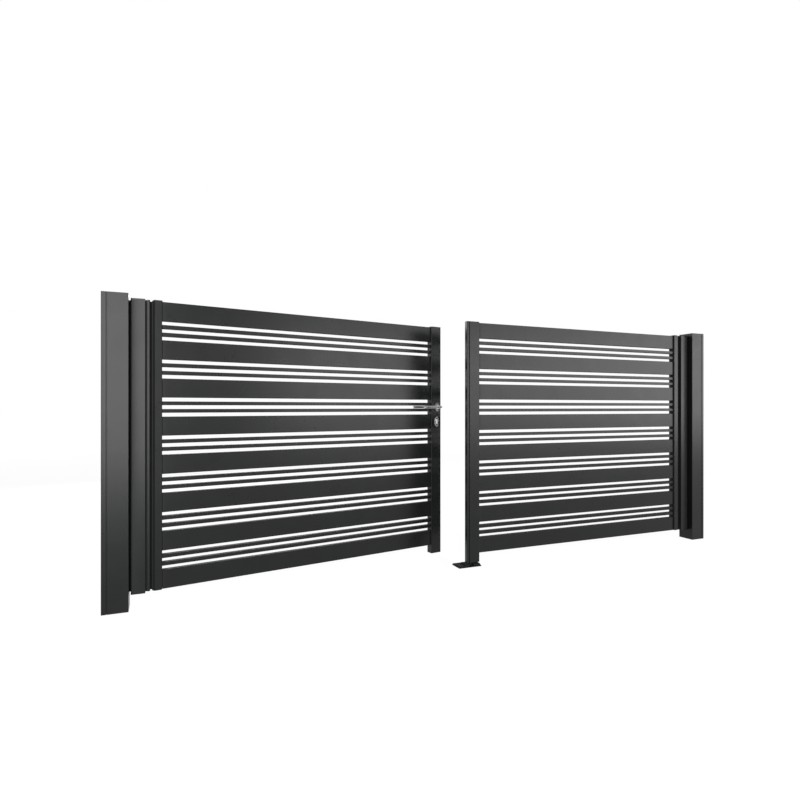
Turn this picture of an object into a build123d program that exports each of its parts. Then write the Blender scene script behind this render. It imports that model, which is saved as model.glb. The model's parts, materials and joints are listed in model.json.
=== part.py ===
# Double-leaf swing gate: slatted leaves that turn on pivot hinges between two square posts.
# The origin is the centre of the left post's base, on the ground. X runs along the closed gate,
# Y to the inside of the yard, Z up. All sizes are in millimetres and angles in degrees.
import os
from math import cos, radians, sin

from build123d import *

# Posts: a square profile, a full-height cover on its outer side and a flat cap
post_width = 98
post_depth = 120
post_height = 1600
post_corner = 2
cover_width = 26
cover_seam = 3
cover_seam_depth = 4
cap_thickness = 4
cap_chamfer = 1
clear_opening = 3942

# Leaf pattern: wide rails with pairs of narrow bars between them
ground_gap = 80
wide_rail = 100
narrow_bar = 20
slot = 20
group_count = 7
narrow_per_group = 2
rail_depth = 30
rail_edge = 1.5
meeting_gap = 6

# Stiles at the two ends of a leaf
stile_depth = 50
stile_corner = 3
hinge_stile_width = 44
hinge_edge_round = 12
free_stile_width = 73
lock_stile_width = 79
stile_drop = 56
stile_cap = 5
stile_cap_inset = 0.5

# Pivot hinge: a full-height barrel at the leaf's rear, on pins that stand on the jamb's end plates
pivot_from_post = 90
pivot_set_back = 17
barrel_diameter = 16
barrel_gap = 6.5
barrel_seat_gap = 1.2
neck_length = 10
neck_thickness = 10
pin_diameter = 10
pin_clearance = 0.05
pin_length = 40
bore_spare_depth = 5
end_play = 0.3
hinge_plate = 6

# Hinge jamb: a fixed profile beside the post, on a flange, with a lip in front of the barrel
jamb_front = 23
jamb_swing_gap = 10
jamb_corner = 2
jamb_post_round = 5
flange_length = 7.5
flange_thickness = 10
lip_reach = 6.5
lip_thickness = 4
lip_barrel_gap = 5

# Closing strip on the right leaf, set off from the stile by a shadow groove
strip_width = 15
strip_depth = 30
strip_corner = 2
strip_groove = 4
strip_groove_depth = 10
strip_web = 14

# Lock set on the left leaf's free stile
spindle_height = 950
spindle_backset = 35
spindle_side = 8
spindle_bore = 14
spindle_socket = 12
rosette_height = 63
rosette_width = 32
rosette_thickness = 8
rosette_edge = 2
lever_diameter = 19
lever_standoff = 42
lever_length = 132
lever_end_chamfer = 1.5
lever_clearance = 0.1
cylinder_below_spindle = 92
escutcheon_below_spindle = 100
escutcheon_height = 67
escutcheon_width = 35
escutcheon_thickness = 6
escutcheon_edge = 2
cylinder_round = 17
cylinder_stem = 10
cylinder_height = 33
cylinder_proud = 3
cylinder_clearance = 0.2
forend_width = 18
forend_height = 245
forend_thickness = 3
forend_below_spindle = 60
forend_set_back = 13

# Ground keep between the leaves: a plate with a sloped block on it, slotted in front for a bolt
keep_length = 148
keep_width = 96
keep_thickness = 11
keep_bevel = 3
keep_shift = 2
keep_set_back = 5
block_length = 120
block_width = 82
block_height = 18.5
block_slope = 26
block_shift = 30
block_forward = 2
notch_width = 30
notch_shift = -9
notch_height = 14
notch_depth = 28

# Pose of the leaves as built: the left one stands ajar, the right one is closed
left_leaf_open = 9.9
right_leaf_open = 0

# Sizes worked out from the driving ones
pattern_step = wide_rail + narrow_per_group * narrow_bar + (narrow_per_group + 1) * slot
leaf_height = group_count * pattern_step + wide_rail
gate_centre = post_width / 2 + clear_opening / 2
stile_spacing = strip_groove + strip_width + meeting_gap
leaf_length = clear_opening / 2 - pivot_from_post - stile_spacing / 2
barrel_radius = barrel_diameter / 2
hinge_stile_start = barrel_radius + neck_length
rail_start = hinge_stile_start + hinge_stile_width
jamb_start = pivot_from_post - flange_length
jamb_end = barrel_radius + barrel_gap
jamb_width = jamb_start - jamb_end
jamb_rear = pivot_set_back + hinge_stile_start - jamb_swing_gap
lip_rear = pivot_set_back - barrel_radius - lip_barrel_gap
jamb_height = leaf_height + 2 * end_play
wide_centres = [wide_rail / 2 + group * pattern_step for group in range(group_count + 1)]
narrow_centres = [
    wide_rail + slot + narrow_bar / 2 + group * pattern_step + bar * (narrow_bar + slot)
    for group in range(group_count)
    for bar in range(narrow_per_group)
]


def leaf_plane(pivot_x, towards_centre, open_angle):
    """Plane on the ground in a leaf's middle beside its pivot, with x along the leaf to the free end."""
    turn = radians(open_angle)
    along = (towards_centre * cos(turn), sin(turn), 0)
    middle = (
        pivot_x + pivot_set_back * towards_centre * sin(turn),
        pivot_set_back * (1 - cos(turn)),
        0,
    )
    return Plane(origin=middle, x_dir=along, z_dir=(0, 0, 1))


left_pivot = post_width / 2 + pivot_from_post
right_pivot = 2 * gate_centre - left_pivot
left_closed = leaf_plane(left_pivot, 1, 0)
right_closed = leaf_plane(right_pivot, -1, 0)
left_leaf = leaf_plane(left_pivot, 1, left_leaf_open)
right_leaf = leaf_plane(right_pivot, -1, right_leaf_open)
lock_face = Plane(
    origin=left_leaf.from_local_coords((leaf_length - spindle_backset, 0, ground_gap + spindle_height)),
    x_dir=left_leaf.x_dir,
    z_dir=-left_leaf.y_dir,
)


def save(piece, name):
    """Label a finished piece and write it to its own file."""
    piece.part.label = name
    export_step(piece.part, f"parts/{name}.step")


def post(centre_x):
    """Main post profile, with its corners eased."""
    with BuildPart() as profile:
        with BuildSketch(Plane.XY):
            with Locations((centre_x, 0)):
                RectangleRounded(post_width, post_depth, post_corner)
        extrude(amount=post_height)
    return profile


def post_cover(centre_x, outward):
    """Cover on the post's outer side, set off from it by a narrow seam at front and back."""
    seat = centre_x + outward * post_width / 2
    face_width = cover_width - cover_seam
    with BuildPart() as cover:
        with BuildSketch(Plane.XY):
            with Locations((seat + outward * (cover_seam + face_width / 2), 0)):
                RectangleRounded(face_width, post_depth, post_corner)
            with Locations((seat + outward * cover_width / 4, 0)):
                Rectangle(cover_width / 2, post_depth - 2 * cover_seam_depth)
        extrude(amount=post_height)
    return cover


def post_cap(centre_x, outward):
    """Flat cap over the post and its cover."""
    with BuildPart() as cap:
        with BuildSketch(Plane.XY.offset(post_height)):
            with Locations((centre_x + outward * cover_width / 2, 0)):
                RectangleRounded(post_width + cover_width, post_depth, post_corner)
        extrude(amount=cap_thickness)
        chamfer(cap.faces().sort_by(Axis.Z)[-1].edges(), cap_chamfer)
    return cap


def rear_of(leaf):
    """Sign of a leaf plane's y axis that points to the inside of the yard."""
    return 1 if leaf.y_dir.Y > 0 else -1


def jamb_outline(closed, level):
    """Sketch of the jamb's box, with a large round on the front edge beside the post."""
    rear = rear_of(closed)
    with BuildSketch(closed.offset(level)) as outline:
        with Locations((-jamb_end - jamb_width / 2, rear * (jamb_rear - jamb_front) / 2)):
            Rectangle(jamb_width, jamb_front + jamb_rear)
        corners = outline.vertices().sort_by_distance((-jamb_start, -rear * jamb_front, 0))
        fillet(corners[0], jamb_post_round)
        corners = outline.vertices().sort_by_distance((-jamb_start, -rear * jamb_front, 0))
        fillet(corners[-3:], jamb_corner)
    return outline.sketch


def hinge_jamb(closed):
    """Fixed profile between post and leaf, with its flange, its lip and a seat round the barrel."""
    base = ground_gap - end_play
    rear = rear_of(closed)
    jamb_middle = jamb_end + jamb_width / 2
    flange_centre = rear * (jamb_rear - flange_thickness / 2)
    lip_centre = rear * (lip_rear - lip_thickness / 2)
    with BuildPart() as jamb:
        extrude(jamb_outline(closed, base), jamb_height)
        with BuildSketch(closed.offset(base)):
            with Locations((-(pivot_from_post + jamb_middle) / 2, flange_centre)):
                Rectangle(pivot_from_post - jamb_middle, flange_thickness)
            with Locations(((lip_reach - jamb_middle) / 2, lip_centre)):
                Rectangle(lip_reach + jamb_middle, lip_thickness)
            with Locations((-jamb_middle / 2, rear * pivot_set_back)):
                Rectangle(jamb_middle, neck_thickness)
            with Locations((0, rear * pivot_set_back)):
                Circle(barrel_radius + barrel_seat_gap, mode=Mode.SUBTRACT)
        extrude(amount=jamb_height)
    return jamb


def hinge_plates(closed):
    """End plates on the jamb, each with a nose over the pivot and a pin that stands into the barrel."""
    bottom = ground_gap - end_play - hinge_plate
    top = ground_gap + leaf_height + end_play
    pin_reach = hinge_plate + end_play + pin_length
    nose_length = jamb_end + jamb_width / 2
    pivot_y = rear_of(closed) * pivot_set_back
    with BuildPart() as plates:
        for level in (bottom, top):
            extrude(jamb_outline(closed, level), hinge_plate)
            with BuildSketch(closed.offset(level)):
                with Locations((-nose_length / 2, pivot_y)):
                    Rectangle(nose_length, barrel_diameter)
                with Locations((0, pivot_y)):
                    Circle(barrel_radius)
            extrude(amount=hinge_plate)
        with BuildSketch(closed.offset(bottom)):
            with Locations((0, pivot_y)):
                Circle(pin_diameter / 2)
        extrude(amount=pin_reach)
        with BuildSketch(closed.offset(top + hinge_plate)):
            with Locations((0, pivot_y)):
                Circle(pin_diameter / 2)
        extrude(amount=-pin_reach)
    return plates


def stile_outline(leaf, level, start, width, hinge_side_round, inset):
    """Sketch of a stile's section, drawn in by an inset, with its own round on the hinge side's edges."""
    with BuildSketch(leaf.offset(level)) as outline:
        with Locations((start + width / 2, 0)):
            Rectangle(width - 2 * inset, stile_depth - 2 * inset)
        fillet(outline.vertices().group_by(Axis.X)[0], hinge_side_round - inset)
        fillet(outline.vertices().group_by(Axis.X)[-1], stile_corner - inset)
    return outline.sketch


def hinge_stile(leaf):
    """Stile, neck and barrel as one full-height profile, bored at both ends for the pins."""
    bore_radius = pin_diameter / 2 + pin_clearance
    bore_depth = pin_length + bore_spare_depth
    neck_end = hinge_stile_start + hinge_edge_round
    pivot_y = rear_of(leaf) * pivot_set_back
    with BuildPart() as stile:
        extrude(
            stile_outline(leaf, ground_gap, hinge_stile_start, hinge_stile_width, hinge_edge_round, 0),
            leaf_height,
        )
        with BuildSketch(leaf.offset(ground_gap)):
            with Locations((neck_end / 2, pivot_y)):
                Rectangle(neck_end, neck_thickness)
            with Locations((0, pivot_y)):
                Circle(barrel_radius)
        extrude(amount=leaf_height)
        with BuildSketch(leaf.offset(ground_gap)):
            with Locations((0, pivot_y)):
                Circle(bore_radius)
        extrude(amount=bore_depth, mode=Mode.SUBTRACT)
        with BuildSketch(leaf.offset(ground_gap + leaf_height)):
            with Locations((0, pivot_y)):
                Circle(bore_radius)
        extrude(amount=-bore_depth, mode=Mode.SUBTRACT)
    return stile


def free_stile(leaf, width):
    """Stile at the free side of the leaf, which reaches below it almost to the ground."""
    foot = ground_gap - stile_drop
    with BuildPart() as stile:
        extrude(
            stile_outline(leaf, foot, leaf_length - width, width, stile_corner, 0),
            leaf_height + stile_drop,
        )
    return stile


def stile_caps(leaf, free_width):
    """Flat caps over the stiles' tops, a little smaller than the profiles."""
    columns = (
        (hinge_stile_start, hinge_stile_width, hinge_edge_round),
        (leaf_length - free_width, free_width, stile_corner),
    )
    with BuildPart() as caps:
        for start, width, hinge_side_round in columns:
            level = ground_gap + leaf_height
            outline = stile_outline(leaf, level, start, width, hinge_side_round, stile_cap_inset)
            extrude(outline, stile_cap)
    return caps


def crossbars(leaf, free_width, height, centres):
    """Like bars between the stiles, one at each height over the leaf's lower edge."""
    section = Plane(
        origin=leaf.from_local_coords((rail_start, 0, ground_gap)),
        x_dir=leaf.y_dir,
        z_dir=leaf.x_dir,
    )
    with BuildPart() as bars:
        with BuildSketch(section) as profiles:
            with Locations(*[(0, centre) for centre in centres]):
                Rectangle(rail_depth, height)
            chamfer(profiles.vertices(), rail_edge)
        extrude(amount=leaf_length - free_width - rail_start)
    return bars


def cylinder_outline(face, clearance):
    """Sketch of the lock cylinder: a round plug over a narrow stem with a round foot."""
    radius = cylinder_round / 2 + clearance
    stem_radius = cylinder_stem / 2 + clearance
    foot = -(cylinder_height - cylinder_round / 2 - cylinder_stem / 2)
    with BuildSketch(face) as outline:
        Circle(radius)
        with Locations((0, foot / 2)):
            Rectangle(2 * stem_radius, -foot)
        with Locations((0, foot)):
            Circle(stem_radius)
    return outline.sketch


def lever(face):
    """Round bar lever, mitred where its neck meets the grip, which points to the hinge."""
    neck_start = stile_depth / 2 + rosette_thickness / 2
    grip_level = stile_depth / 2 + lever_standoff
    along = face.x_dir.dot(left_leaf.x_dir)
    with BuildPart() as bar:
        with BuildLine(face) as route:
            Polyline(
                (0, 0, neck_start),
                (0, 0, grip_level),
                (-along * lever_length, 0, grip_level),
            )
        with BuildSketch(Plane(face.from_local_coords((0, 0, neck_start)), face.x_dir, face.z_dir)):
            Circle(lever_diameter / 2)
        sweep(path=route.line, transition=Transition.RIGHT)
        tip = bar.faces().sort_by(Axis(face.origin, face.x_dir * -along))[-1]
        chamfer(tip.edges(), lever_end_chamfer)
        with BuildSketch(Plane(face.from_local_coords((0, 0, neck_start)), face.x_dir, face.z_dir)):
            Rectangle(spindle_side, spindle_side)
        extrude(amount=spindle_socket, mode=Mode.SUBTRACT)
    return bar


os.makedirs("parts", exist_ok=True)

# Posts with their covers and caps, hinge jambs and pivot plates
sides = (("left", 0, -1, left_closed), ("right", 2 * gate_centre, 1, right_closed))
for side, centre_x, outward, closed in sides:
    save(post(centre_x), f"{side}_post")
    save(post_cover(centre_x, outward), f"{side}_post_cover")
    save(post_cap(centre_x, outward), f"{side}_post_cap")
    save(hinge_jamb(closed), f"{side}_hinge_jamb")
    save(hinge_plates(closed), f"{side}_hinge_plates")

# Hinge stiles, crossbars and caps of both leaves
leaves = (("left", left_leaf, lock_stile_width), ("right", right_leaf, free_stile_width))
for side, leaf, free_width in leaves:
    save(hinge_stile(leaf), f"{side}_hinge_stile")
    save(crossbars(leaf, free_width, wide_rail, wide_centres), f"{side}_wide_rails")
    save(crossbars(leaf, free_width, narrow_bar, narrow_centres), f"{side}_narrow_bars")
    save(stile_caps(leaf, free_width), f"{side}_stile_caps")

# Left free stile, bored for the lock's spindle and cylinder, with a recess for the forend
cylinder_half = stile_depth / 2 + escutcheon_thickness + cylinder_proud
cylinder_rear = Plane(
    origin=lock_face.from_local_coords((0, -cylinder_below_spindle, -cylinder_half)),
    x_dir=lock_face.x_dir,
    z_dir=lock_face.z_dir,
)
end_face = Plane(
    origin=lock_face.from_local_coords((spindle_backset, -forend_below_spindle, -forend_set_back)),
    x_dir=left_leaf.y_dir,
    z_dir=left_leaf.x_dir,
)
with BuildPart() as left_free_stile:
    add(free_stile(left_leaf, lock_stile_width).part)
    with BuildSketch(lock_face):
        Circle(spindle_bore / 2)
    extrude(amount=stile_depth, both=True, mode=Mode.SUBTRACT)
    extrude(cylinder_outline(cylinder_rear, cylinder_clearance), 2 * cylinder_half, mode=Mode.SUBTRACT)
    with BuildSketch(end_face):
        Rectangle(forend_width, forend_height)
    extrude(amount=-forend_thickness, mode=Mode.SUBTRACT)
save(left_free_stile, "left_free_stile")

# Lock forend, let into the end of the left stile
with BuildPart() as lock_forend:
    with BuildSketch(end_face):
        Rectangle(forend_width, forend_height)
    extrude(amount=-forend_thickness)
save(lock_forend, "lock_forend")

# Oval rosettes and escutcheons on both faces of the stile
lock_sides = (lock_face, Plane(lock_face.origin, -lock_face.x_dir, -lock_face.z_dir))
with BuildPart() as lever_rosettes:
    for face in lock_sides:
        with BuildSketch(face.offset(stile_depth / 2)):
            SlotOverall(rosette_height, rosette_width, rotation=90)
            Circle(lever_diameter / 2 + lever_clearance, mode=Mode.SUBTRACT)
        extrude(amount=rosette_thickness)
        rim = lever_rosettes.faces().sort_by(Axis(face.origin, face.z_dir))[-1].outer_wire()
        chamfer(rim.edges(), rosette_edge)
save(lever_rosettes, "lever_rosettes")

with BuildPart() as cylinder_escutcheons:
    for face in lock_sides:
        with BuildSketch(face.offset(stile_depth / 2)):
            with Locations((0, -escutcheon_below_spindle)):
                SlotOverall(escutcheon_height, escutcheon_width, rotation=90)
        extrude(amount=escutcheon_thickness)
        rim = cylinder_escutcheons.faces().sort_by(Axis(face.origin, face.z_dir))[-1].outer_wire()
        chamfer(rim.edges(), escutcheon_edge)
    extrude(cylinder_outline(cylinder_rear, cylinder_clearance), 2 * cylinder_half, mode=Mode.SUBTRACT)
save(cylinder_escutcheons, "cylinder_escutcheons")

# Lock cylinder through the stile and both escutcheons
with BuildPart() as lock_cylinder:
    extrude(cylinder_outline(cylinder_rear, 0), 2 * cylinder_half)
save(lock_cylinder, "lock_cylinder")

# Lever handles and the square spindle that joins them
save(lever(lock_sides[0]), "front_lever")
save(lever(lock_sides[1]), "rear_lever")
with BuildPart() as handle_spindle:
    with BuildSketch(lock_face):
        Rectangle(spindle_side, spindle_side)
    extrude(amount=stile_depth / 2 + rosette_thickness / 2 + spindle_socket, both=True)
save(handle_spindle, "handle_spindle")

# Right free stile, with a recess for the strike plate opposite the forend
strike_face = Plane(
    origin=right_leaf.from_local_coords(
        (leaf_length, -forend_set_back, ground_gap + spindle_height - forend_below_spindle)
    ),
    x_dir=right_leaf.y_dir,
    z_dir=right_leaf.x_dir,
)
with BuildPart() as right_free_stile:
    add(free_stile(right_leaf, free_stile_width).part)
    with BuildSketch(strike_face):
        Rectangle(forend_width, forend_height)
    extrude(amount=-forend_thickness, mode=Mode.SUBTRACT)
save(right_free_stile, "right_free_stile")

with BuildPart() as strike_plate:
    with BuildSketch(strike_face):
        Rectangle(forend_width, forend_height)
    extrude(amount=-forend_thickness)
save(strike_plate, "strike_plate")

# Closing strip in the meeting gap, flush with the leaf's front and carried on its stile by a web
strip_front = stile_depth / 2
strip_middle = leaf_length + strip_groove + strip_width / 2
web_centre = strip_front - strip_groove_depth - strip_web / 2
with BuildPart() as right_closing_strip:
    with BuildSketch(right_leaf.offset(ground_gap - stile_drop)):
        with Locations((strip_middle, strip_front - strip_depth / 2)):
            RectangleRounded(strip_width, strip_depth, strip_corner)
        with Locations(((leaf_length + strip_middle) / 2, web_centre)):
            Rectangle(strip_middle - leaf_length, strip_web)
    extrude(amount=leaf_height + stile_drop + stile_cap)
save(right_closing_strip, "right_closing_strip")

# Ground keep under the meeting line of the leaves
block_centre = gate_centre + block_shift
with BuildPart() as ground_keep:
    with BuildSketch(Plane.XY):
        with Locations((gate_centre + keep_shift, keep_set_back)):
            Rectangle(keep_length, keep_width)
    extrude(amount=keep_thickness)
    chamfer(ground_keep.faces().sort_by(Axis.Z)[-1].edges(), keep_bevel)
    with BuildSketch(Plane.XY):
        with Locations((block_centre, -block_forward)):
            Rectangle(block_length, block_width)
    extrude(amount=block_height, taper=block_slope)
    with BuildSketch(Plane.XY.offset(block_height)):
        with Locations((block_centre + notch_shift, -block_forward - block_width / 2)):
            Rectangle(notch_width, 2 * notch_depth)
    extrude(amount=-notch_height, mode=Mode.SUBTRACT)
save(ground_keep, "ground_keep")
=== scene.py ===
import json
import math

import bmesh
import bpy
from mathutils import Matrix, Vector


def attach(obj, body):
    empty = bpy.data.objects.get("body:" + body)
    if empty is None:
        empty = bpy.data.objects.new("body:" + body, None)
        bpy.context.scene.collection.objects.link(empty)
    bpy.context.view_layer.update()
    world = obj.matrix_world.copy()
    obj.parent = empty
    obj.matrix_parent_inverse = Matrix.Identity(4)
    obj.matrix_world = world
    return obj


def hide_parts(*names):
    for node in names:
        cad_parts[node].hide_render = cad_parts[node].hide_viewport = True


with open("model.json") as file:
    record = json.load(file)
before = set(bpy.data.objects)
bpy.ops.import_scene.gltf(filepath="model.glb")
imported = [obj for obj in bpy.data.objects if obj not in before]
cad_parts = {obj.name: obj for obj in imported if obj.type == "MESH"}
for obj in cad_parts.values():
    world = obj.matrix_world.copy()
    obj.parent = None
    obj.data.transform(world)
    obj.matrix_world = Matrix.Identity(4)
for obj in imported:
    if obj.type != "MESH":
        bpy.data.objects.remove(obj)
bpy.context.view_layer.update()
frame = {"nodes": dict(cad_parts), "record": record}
nodes = frame["nodes"]

# Camera, as fitted to the photograph, in metres, degrees and pixels of the 800 pixel frame
IMAGE_SIZE = 800
CAMERA_PLACE = (0.2083, -3.1849, 1.0300)
CAMERA_YAW = 22.91
CAMERA_FOCAL = 560.76
HORIZON_ROW = 407.10
SENSOR_WIDTH = 36.0

# Frames of the leaves: x along the leaf from its hinge, y to its rear, z up, all in millimetres
MILLIMETRES = Matrix.Scale(0.001, 4)
MIRROR = Matrix.Diagonal((-1, 1, 1, 1))
OPEN_ANGLE = 9.9
LEFT_LEAF_TURN = Matrix.Rotation(math.radians(OPEN_ANGLE), 4, "Z")
LEFT_LEAF = Matrix.Translation((0.14192, 0.00025, 0)) @ LEFT_LEAF_TURN @ MILLIMETRES
RIGHT_LEAF = Matrix.Translation((3.901, 0, 0)) @ MIRROR @ MILLIMETRES
LEAF_END = 1868.5
LEAF_BOTTOM = 80
LEAF_TOP = 1580
SPINDLE_ALONG = 1833.5
SPINDLE_HEIGHT = 1030
CYLINDER_HEIGHT = 938

# Frames of the posts, in millimetres too, and the posts' spacing in metres
GATE_LENGTH = 4.04
LEFT_POST = MILLIMETRES
RIGHT_POST = Matrix.Translation((GATE_LENGTH, 0, 0)) @ MIRROR @ MILLIMETRES


def value_noise(tree, scale, detail, stretch=(1, 1, 1)):
    """Noise in object coordinates, stretched by a factor along each axis."""
    place = tree.nodes.new("ShaderNodeTexCoord")
    mapping = tree.nodes.new("ShaderNodeMapping")
    mapping.inputs["Scale"].default_value = stretch
    noise = tree.nodes.new("ShaderNodeTexNoise")
    noise.inputs["Scale"].default_value = scale
    noise.inputs["Detail"].default_value = detail
    tree.links.new(place.outputs["Object"], mapping.inputs["Vector"])
    tree.links.new(mapping.outputs["Vector"], noise.inputs["Vector"])
    return noise.outputs["Fac"]


def spread(tree, source, low, high):
    """Map a noise from its usual middle range to a chosen range."""
    remap = tree.nodes.new("ShaderNodeMapRange")
    remap.inputs["From Min"].default_value = 0.3
    remap.inputs["From Max"].default_value = 0.7
    remap.inputs["To Min"].default_value = low
    remap.inputs["To Max"].default_value = high
    tree.links.new(source, remap.inputs["Value"])
    return remap.outputs["Result"]


def tint(tree, source, dark, light):
    """Colour between two close tones, by a noise."""
    mix = tree.nodes.new("ShaderNodeMix")
    mix.data_type = "RGBA"
    mix.inputs["A"].default_value = (*dark, 1)
    mix.inputs["B"].default_value = (*light, 1)
    tree.links.new(source, mix.inputs["Factor"])
    return mix.outputs["Result"]


def relief(tree, source, strength, distance):
    """Fine surface relief from a noise."""
    bump = tree.nodes.new("ShaderNodeBump")
    bump.inputs["Strength"].default_value = strength
    bump.inputs["Distance"].default_value = distance
    tree.links.new(source, bump.inputs["Height"])
    return bump.outputs["Normal"]


def new_material(name):
    """A material with an empty node tree and a principled shader."""
    material = bpy.data.materials.new(name)
    material.use_nodes = True
    return material, material.node_tree, material.node_tree.nodes["Principled BSDF"]


def powder_coat(name, dark, light, rough_low, rough_high, specular):
    """Satin powder coat: a faint mottle in the tone, and fine orange peel in the surface."""
    material, tree, shader = new_material(name)
    mottle = value_noise(tree, 9, 3)
    peel = value_noise(tree, 700, 2)
    tree.links.new(tint(tree, mottle, dark, light), shader.inputs["Base Color"])
    tree.links.new(spread(tree, mottle, rough_low, rough_high), shader.inputs["Roughness"])
    tree.links.new(relief(tree, peel, 0.08, 0.0004), shader.inputs["Normal"])
    shader.inputs["Specular IOR Level"].default_value = specular
    return material


def dull_creases(material, reach, dull):
    """Raise a coat's roughness where other surfaces stand close, which keeps lamps out of the recesses."""
    tree = material.node_tree
    rough = tree.nodes["Principled BSDF"].inputs["Roughness"]
    gloss = rough.links[0].from_socket
    sky = tree.nodes.new("ShaderNodeAmbientOcclusion")
    sky.inputs["Distance"].default_value = reach
    sky.samples = 12
    share = tree.nodes.new("ShaderNodeMapRange")
    share.interpolation_type = "SMOOTHSTEP"
    share.inputs["From Min"].default_value = 0.32
    share.inputs["From Max"].default_value = 1.0
    share.inputs["To Min"].default_value = dull
    tree.links.new(sky.outputs["AO"], share.inputs["Value"])
    tree.links.new(gloss, share.inputs["To Max"])
    tree.links.new(share.outputs["Result"], rough)
    return material


def brushed_metal(name, dark, light, rough_low, rough_high, stretch):
    """Metal with a fine brushed grain across one axis."""
    material, tree, shader = new_material(name)
    grain = value_noise(tree, 260, 4, stretch)
    tree.links.new(tint(tree, grain, dark, light), shader.inputs["Base Color"])
    tree.links.new(spread(tree, grain, rough_low, rough_high), shader.inputs["Roughness"])
    tree.links.new(relief(tree, grain, 0.1, 0.0002), shader.inputs["Normal"])
    shader.inputs["Metallic"].default_value = 1.0
    return material


COAT = ((0.0070, 0.0079, 0.0076), (0.0084, 0.0093, 0.0090), 0.27, 0.31, 0.22)
coat = powder_coat("gate_coat", *COAT)
crease_coat = dull_creases(powder_coat("crease_coat", *COAT), 0.09, 0.95)
rail_coat = dull_creases(powder_coat("rail_coat", *COAT), 0.03, 0.95)
trim_coat = powder_coat("trim_coat", *COAT[:2], 0.33, 0.37, 0.22)
cap_plastic = powder_coat("cap_plastic", (0.012, 0.013, 0.013), (0.016, 0.017, 0.017), 0.5, 0.58, 0.35)
keep_coat = powder_coat("keep_coat", (0.010, 0.011, 0.011), (0.014, 0.015, 0.015), 0.66, 0.8, 0.08)
stainless = brushed_metal("brushed_stainless", (0.44, 0.44, 0.43), (0.56, 0.56, 0.55), 0.26, 0.38, (1, 1, 14))
# Rosettes: the brushed stainless in a darker copy, its low tone painted shade for the darker reflections
# round the rosettes
shaded_rose_steel = brushed_metal("shaded_rose_steel", (0.086, 0.086, 0.085), (0.104, 0.104, 0.102), 0.27, 0.31, (1, 1, 14))
plate_steel = brushed_metal("plate_steel", (0.42, 0.42, 0.41), (0.52, 0.52, 0.51), 0.15, 0.22, (14, 14, 1))
nickel = brushed_metal("satin_nickel", (0.66, 0.65, 0.62), (0.78, 0.77, 0.74), 0.36, 0.44, (1, 14, 1))

FINISH_OF_SLOT = {
    "powder_coat": coat,
    "hinge_steel": coat,
    "keep_steel": keep_coat,
    "cap_plastic": cap_plastic,
    "stainless_steel": stainless,
    "nickel_cylinder": nickel,
}
FINISH_OF_NODE = {
    "left_hinge_jamb": crease_coat,
    "right_hinge_jamb": crease_coat,
    "left_wide_rails": rail_coat,
    "left_narrow_bars": rail_coat,
    "right_wide_rails": rail_coat,
    "right_narrow_bars": rail_coat,
    "lever_rosettes": shaded_rose_steel,
    "cylinder_escutcheons": plate_steel,
}
for part in frame["record"]["subparts"]:
    mesh = nodes[part["node"]].data
    mesh.materials.clear()
    mesh.materials.append(FINISH_OF_NODE.get(part["node"], FINISH_OF_SLOT[part["material_slot"]]))


def arc(centre, radius, start, end, steps):
    """Points on an arc between two angles in degrees, both ends kept."""
    angles = [math.radians(start + (end - start) * k / steps) for k in range(steps + 1)]
    return [(centre[0] + radius * math.cos(a), centre[1] + radius * math.sin(a)) for a in angles]


def circle(radius, steps, centre=(0, 0)):
    """Closed round outline."""
    return arc(centre, radius, 0, 360, steps)[:-1]


def box(low_x, high_x, low_y, high_y):
    """Closed rectangular outline."""
    return [(low_x, low_y), (high_x, low_y), (high_x, high_y), (low_x, high_y)]


def bridge(shape, first, second):
    """Wall between two loops of as many points."""
    for k in range(len(first)):
        shape.faces.new((first[k - 1], first[k], second[k], second[k - 1]))


def loop_at(shape, place, outline, level):
    """Loop of points of an outline at a level."""
    return [shape.verts.new(place @ Vector((x, y, level))) for x, y in outline]


def add_plate(shape, place, outline, holes, low, high):
    """Bar or plate with a closed outline and through holes, between two levels."""
    loops = [[loop_at(shape, place, line, level) for line in [outline, *holes]] for level in (low, high)]
    for first, second in zip(*loops):
        bridge(shape, first, second)
    for level in loops:
        edges = [shape.edges.get((line[k - 1], line[k])) for line in level for k in range(len(line))]
        bmesh.ops.triangle_fill(shape, use_beauty=True, use_dissolve=False, edges=edges)


def add_stack(shape, place, outlines):
    """Solid through a stack of outlines with their levels, closed at both ends."""
    loops = [loop_at(shape, place, outline, level) for outline, level in outlines]
    for first, second in zip(loops, loops[1:]):
        bridge(shape, first, second)
    shape.faces.new(loops[0])
    shape.faces.new(loops[-1])


def add_ring(shape, place, section, steps):
    """Ring with a closed section of radii and levels."""
    loops = [loop_at(shape, place, circle(radius, steps), level) for radius, level in section]
    for k in range(len(loops)):
        bridge(shape, loops[k - 1], loops[k])


def add_screw(shape, place, radius, low, high, socket):
    """Round screw head between two levels, with a hexagon socket of a given half width."""
    steps = 24
    turns = [360 / steps * k for k in range(steps)]
    hexagon = [
        arc((0, 0), socket / math.cos(math.radians((turn + 30) % 60 - 30)), turn, turn, 1)[0]
        for turn in turns
    ]
    rise = high - low
    add_stack(shape, place, [
        (circle(radius, steps), low),
        (circle(radius, steps), low + 0.35 * rise),
        (circle(0.9 * radius, steps), low + 0.75 * rise),
        (circle(0.72 * radius, steps), high),
        (hexagon, high),
        (hexagon, low + 0.3 * rise),
    ])


def finish_piece(name, shape, body, finish):
    """Make an object of a finished shape that rides on a body."""
    bmesh.ops.recalc_face_normals(shape, faces=shape.faces)
    mesh = bpy.data.meshes.new(name)
    shape.to_mesh(mesh)
    shape.free()
    mesh.polygons.foreach_set("use_smooth", [True] * len(mesh.polygons))
    mesh.set_sharp_from_angle(angle=math.radians(32))
    mesh.materials.append(finish)
    piece = bpy.data.objects.new(name, mesh)
    bpy.context.scene.collection.objects.link(piece)
    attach(piece, body)
    return piece


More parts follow.
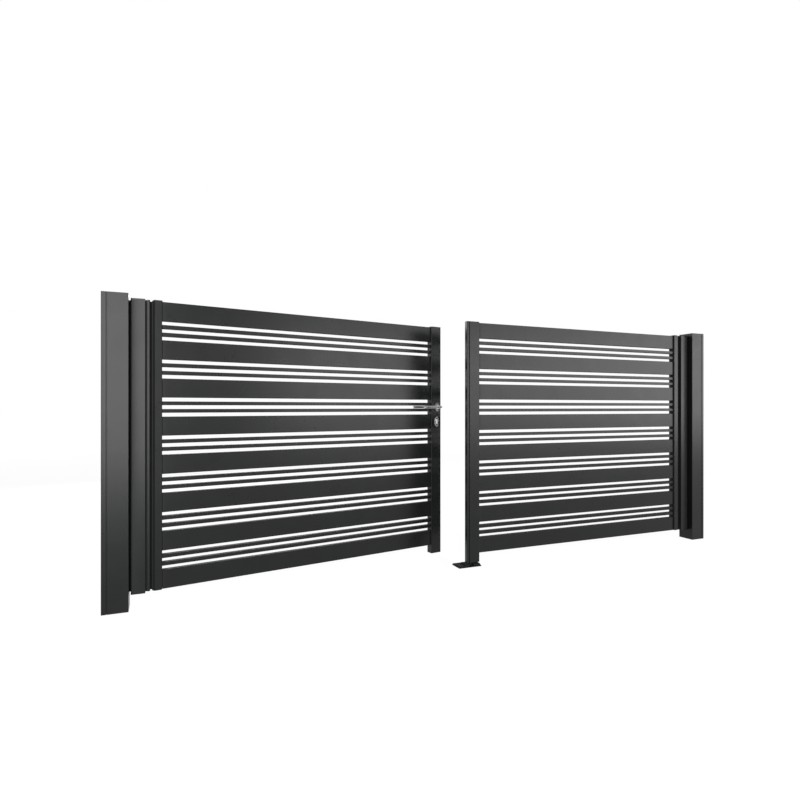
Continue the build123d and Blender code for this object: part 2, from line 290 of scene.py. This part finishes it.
# Hinge stiles: tubular barrel and neck, a fin and a bevelled front edge, a shadow groove at the rails
PIVOT = (0, 17)
PIN_BORE = circle(5.05, 32, PIVOT)
STILE_SECTION = [
    (18, 12), (18, -8), (12.5, -8), (12.5, -12), (18, -12), (18, -19),
    (24, -25), (58, -25), (58.5, -24.5), (58.5, -8), (62, -8),
    *arc((59, 22), 3, 0, 90, 6),
    *arc((30, 13), 12, 90, 131.41, 6),
    *arc(PIVOT, 8, 38.68, 321.32, 36),
]
for side, leaf in (("left", LEFT_LEAF), ("right", RIGHT_LEAF)):
    shape = bmesh.new()
    add_plate(shape, leaf, STILE_SECTION, [PIN_BORE], LEAF_BOTTOM, LEAF_TOP)
    stile = finish_piece(f"{side}_hinge_profile", shape, f"{side}_leaf", crease_coat)
    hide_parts(f"{side}_hinge_stile")

# Trim on the jambs' lips, in front of the barrels
LIP_TRIM = [(132, 0.2), (132, -0.6), (133, -1), (144.5, -1), (145.4, -0.6), (145.4, 0.2)]
for side, place in (("left", LEFT_POST), ("right", RIGHT_POST)):
    shape = bmesh.new()
    add_plate(shape, place, LIP_TRIM, [], LEAF_BOTTOM, LEAF_TOP)
    finish_piece(f"{side}_lip_trim", shape, "posts", trim_coat)

# Lock forend with its latch and dead bolt, and the strike plate opposite, in frames on the leaves' ends
END_FACE = Matrix(((0, 0, 1, LEAF_END), (1, 0, 0, 13), (0, 1, 0, 970), (0, 0, 0, 1)))
PLATE = box(-9, 9, -122.5, 122.5)
PLATE_BACK = -3
SCREW_HEIGHTS = (-112, 112)
screw_holes = [circle(4.5, 24, (0, height)) for height in SCREW_HEIGHTS]
left_end = LEFT_LEAF @ END_FACE
right_end = RIGHT_LEAF @ END_FACE

bolt_holes = [box(-6.5, 6.5, 52, 76), box(-6.5, 6.5, -30, 4)]
shape = bmesh.new()
add_plate(shape, left_end, PLATE, [*bolt_holes, *screw_holes], PLATE_BACK, 0)
forend = finish_piece("forend_plate", shape, "left_leaf", plate_steel)
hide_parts("lock_forend")

latch_foot = box(-5.9, 5.9, 52.6, 75.4)
dead_bolt_foot = box(-5.9, 5.9, -29.4, 3.4)
shape = bmesh.new()
add_stack(shape, left_end, [
    (latch_foot, PLATE_BACK), (latch_foot, -0.9), (box(-1.5, 5.2, 53.3, 74.7), -0.1),
])
add_stack(shape, left_end, [
    (dead_bolt_foot, PLATE_BACK), (dead_bolt_foot, -0.7), (box(-5.3, 5.3, -28.8, 2.8), -0.1),
])
finish_piece("lock_bolts", shape, "left_leaf", nickel)

strike_holes = [box(-7, 7, 50, 78), box(-7, 7, -33, 7)]
shape = bmesh.new()
add_plate(shape, right_end, PLATE, [*strike_holes, *screw_holes], PLATE_BACK, 0)
strike = finish_piece("strike_plate_pierced", shape, "right_leaf", plate_steel)
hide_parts("strike_plate")

shape = bmesh.new()
for low, high in ((50.3, 77.7), (-32.7, 6.7)):
    pocket = box(-5.5, 5.5, low + 1.2, high - 1.2)
    pocket_floor = box(-5.3, 5.3, low + 1.4, high - 1.4)
    add_plate(shape, right_end, box(-6.7, 6.7, low, high), [pocket], PLATE_BACK, -0.6)
    add_stack(shape, right_end, [(pocket, PLATE_BACK), (pocket_floor, -2.6)])
finish_piece("strike_dust_boxes", shape, "right_leaf", cap_plastic)

for side, leaf in (("left", LEFT_LEAF), ("right", RIGHT_LEAF)):
    shape = bmesh.new()
    for height in SCREW_HEIGHTS:
        add_screw(shape, leaf @ END_FACE @ Matrix.Translation((0, height, 0)), 4.2, PLATE_BACK, -0.1, 1.5)
    finish_piece(f"{side}_plate_screws", shape, f"{side}_leaf", stainless)

# Collars round the lever necks, and plugs with keyway slots in the lock cylinder, on both faces of the leaf,
# with dark sheets low in the slots as painted shade
FACES = (
    Matrix(((1, 0, 0, SPINDLE_ALONG), (0, 0, -1, 0), (0, 1, 0, 0), (0, 0, 0, 1))),
    Matrix(((-1, 0, 0, SPINDLE_ALONG), (0, 0, 1, 0), (0, 1, 0, 0), (0, 0, 0, 1))),
)
KEYWAY = [
    (-0.7, -4.2), (0.7, -4.2), (0.7, -0.6), (1.3, 0.2), (0.7, 1.0),
    (0.7, 3.6), (-0.7, 3.6), (-0.7, 1.6), (-0.2, 0.8), (-0.7, 0),
]
COLLAR = [(9.9, 33), (12.8, 33), (12.8, 34.4), (12.1, 35.1), (9.9, 35.1)]
collars = bmesh.new()
plugs = bmesh.new()
keyway_shading = bmesh.new()
for face in FACES:
    add_ring(collars, LEFT_LEAF @ face @ Matrix.Translation((0, SPINDLE_HEIGHT, 0)), COLLAR, 48)
    lock = LEFT_LEAF @ face @ Matrix.Translation((0, CYLINDER_HEIGHT, 0))
    add_plate(plugs, lock, circle(6.4, 40), [KEYWAY], 33.8, 34.7)
    add_ring(plugs, lock, [(7.2, 33.8), (8.2, 33.8), (8.2, 34.3), (7.2, 34.5)], 40)
    # A dark sheet low in each keyway, in the cap plastic finish, is painted shade where the slot runs deep
    add_stack(keyway_shading, lock, [(KEYWAY, 33.6), (KEYWAY, 34.1)])
finish_piece("lever_collars", collars, "left_leaf", stainless)
finish_piece("cylinder_plugs", plugs, "left_leaf", nickel)
finish_piece("painted_keyway_shade", keyway_shading, "left_leaf", cap_plastic)

# Screws in the hinge plates and heads on the pivot pins, above and below, placed in metres
UPPER_PLATE = (1.5863, Matrix.Identity(4))
LOWER_PLATE = (0.0737, Matrix.Rotation(math.pi, 4, "X"))
PLATE_SCREWS = ((0.073, 0.001), (0.108, 0.001))
PIN_HEAD = (0.139, 0.017)
PIN_HEAD_STACK = [(circle(6.8, 32), -0.5), (circle(6.8, 32), 1.1), (circle(5.9, 32), 1.9)]
screws = bmesh.new()
heads = bmesh.new()
for height, turn in (UPPER_PLATE, LOWER_PLATE):
    for mirrored in (False, True):
        for along, back in (*PLATE_SCREWS, PIN_HEAD):
            across = GATE_LENGTH - along if mirrored else along
            place = Matrix.Translation((across, back, height)) @ turn @ MILLIMETRES
            if (along, back) == PIN_HEAD:
                add_stack(heads, place, PIN_HEAD_STACK)
            else:
                add_screw(screws, place, 6, -0.5, 2.6, 2.4)
finish_piece("hinge_plate_screws", screws, "posts", stainless)
finish_piece("pivot_pin_heads", heads, "posts", coat)

# Anchor screws at the open end of the ground keep
ANCHOR_ACROSS = 1.9595
ANCHOR_BACKS = (-0.018, 0.024)
KEEP_TOP = 0.011
shape = bmesh.new()
for back in ANCHOR_BACKS:
    place = Matrix.Translation((ANCHOR_ACROSS, back, KEEP_TOP)) @ MILLIMETRES
    add_ring(shape, place, [(5.6, -0.5), (7.6, -0.5), (7.6, 0.5), (5.6, 0.8)], 32)
    add_screw(shape, place, 5.4, -0.5, 1.6, 2.5)
finish_piece("keep_anchor_screws", shape, "posts", cap_plastic)

# Floor: pale, white to the camera and to reflections, and it keeps the gate's shadow
FLOOR_HALF = 60
FLOOR_NEAR, FLOOR_FAR = 3.0, 16.0
GLOW_NEAR, GLOW_FAR = 0.95, 1.0
floor_mesh = bpy.data.meshes.new("floor")
corners = [(x, y, 0) for x, y in box(-FLOOR_HALF, FLOOR_HALF, -FLOOR_HALF, FLOOR_HALF)]
floor_mesh.from_pydata(corners, [], [(0, 1, 2, 3)])
floor = bpy.data.objects.new("floor", floor_mesh)
bpy.context.scene.collection.objects.link(floor)


def seen_directly(tree):
    """1 for camera, glossy and transmission rays, 0 for the rest."""
    path = tree.nodes.new("ShaderNodeLightPath")
    first = tree.nodes.new("ShaderNodeMath")
    first.operation = "MAXIMUM"
    tree.links.new(path.outputs["Is Camera Ray"], first.inputs[0])
    tree.links.new(path.outputs["Is Glossy Ray"], first.inputs[1])
    both = tree.nodes.new("ShaderNodeMath")
    both.operation = "MAXIMUM"
    tree.links.new(first.outputs[0], both.inputs[0])
    tree.links.new(path.outputs["Is Transmission Ray"], both.inputs[1])
    return both.outputs[0]


floor_material, tree, shader = new_material("pale_floor")
shader.inputs["Base Color"].default_value = (0.12, 0.12, 0.12, 1)
shader.inputs["Roughness"].default_value = 0.9
shader.inputs["Specular IOR Level"].default_value = 0.0
shader.inputs["Emission Color"].default_value = (1, 1, 1, 1)
place = tree.nodes.new("ShaderNodeTexCoord")
away = tree.nodes.new("ShaderNodeVectorMath")
away.operation = "LENGTH"
tree.links.new(place.outputs["Object"], away.inputs[0])
fade = tree.nodes.new("ShaderNodeMapRange")
fade.interpolation_type = "SMOOTHSTEP"
fade.inputs["From Min"].default_value = FLOOR_NEAR
fade.inputs["From Max"].default_value = FLOOR_FAR
fade.inputs["To Min"].default_value = GLOW_NEAR
fade.inputs["To Max"].default_value = GLOW_FAR
tree.links.new(away.outputs["Value"], fade.inputs["Value"])
glow = tree.nodes.new("ShaderNodeMath")
glow.operation = "MULTIPLY"
tree.links.new(seen_directly(tree), glow.inputs[0])
tree.links.new(fade.outputs["Result"], glow.inputs[1])
tree.links.new(glow.outputs[0], shader.inputs["Emission Strength"])
floor_mesh.materials.append(floor_material)

# World: white to the camera and to reflections, a low even fill otherwise
FILL_STRENGTH = 0.12
world = bpy.data.worlds.new("studio")
bpy.context.scene.world = world
world.use_nodes = True
tree = world.node_tree
background = tree.nodes["Background"]
background.inputs["Color"].default_value = (1, 1, 1, 1)
level = tree.nodes.new("ShaderNodeMapRange")
level.inputs["To Min"].default_value = FILL_STRENGTH
level.inputs["To Max"].default_value = 1.0
tree.links.new(seen_directly(tree), level.inputs["Value"])
tree.links.new(level.outputs["Result"], background.inputs["Strength"])


def softbox(name, place, target, width, height, radiance):
    """Large rectangular lamp that faces a target, with an even radiance over its face."""
    lamp = bpy.data.lights.new(name, "AREA")
    lamp.shape = "RECTANGLE"
    lamp.size = width
    lamp.size_y = height
    lamp.energy = radiance * width * height * math.pi
    lamp_object = bpy.data.objects.new(name, lamp)
    bpy.context.scene.collection.objects.link(lamp_object)
    lamp_object.location = place
    lamp_object.rotation_euler = (Vector(target) - Vector(place)).to_track_quat("-Z", "Y").to_euler()
    lamp_object.visible_camera = False
    return lamp_object


# Two lamps in front, as the reflections in the photograph need them, and one behind
softbox("key_left", (-0.35, -4.6, 1.75), (0.3, 0.0, 1.68), 3.1, 3.3, 7.6)
softbox("key_right", (6.0, -3.85, 1.55), (3.5, 0.0, 1.48), 5.2, 1.9, 5.4)
softbox("key_back", (1.0, 5.4, 2.4), (2.0, 0.0, 0.9), 5.0, 2.6, 4.0)

# Camera at the photograph's view
camera_data = bpy.data.cameras.new("photo_camera")
camera_data.sensor_width = SENSOR_WIDTH
camera_data.lens = CAMERA_FOCAL / IMAGE_SIZE * SENSOR_WIDTH
camera_data.shift_y = (HORIZON_ROW - IMAGE_SIZE / 2) / IMAGE_SIZE
camera = bpy.data.objects.new("photo_camera", camera_data)
camera.location = CAMERA_PLACE
camera.rotation_euler = (math.radians(90), 0, -math.radians(CAMERA_YAW))
bpy.context.scene.collection.objects.link(camera)
bpy.context.scene.camera = camera
bpy.context.scene.view_settings.view_transform = "Standard"
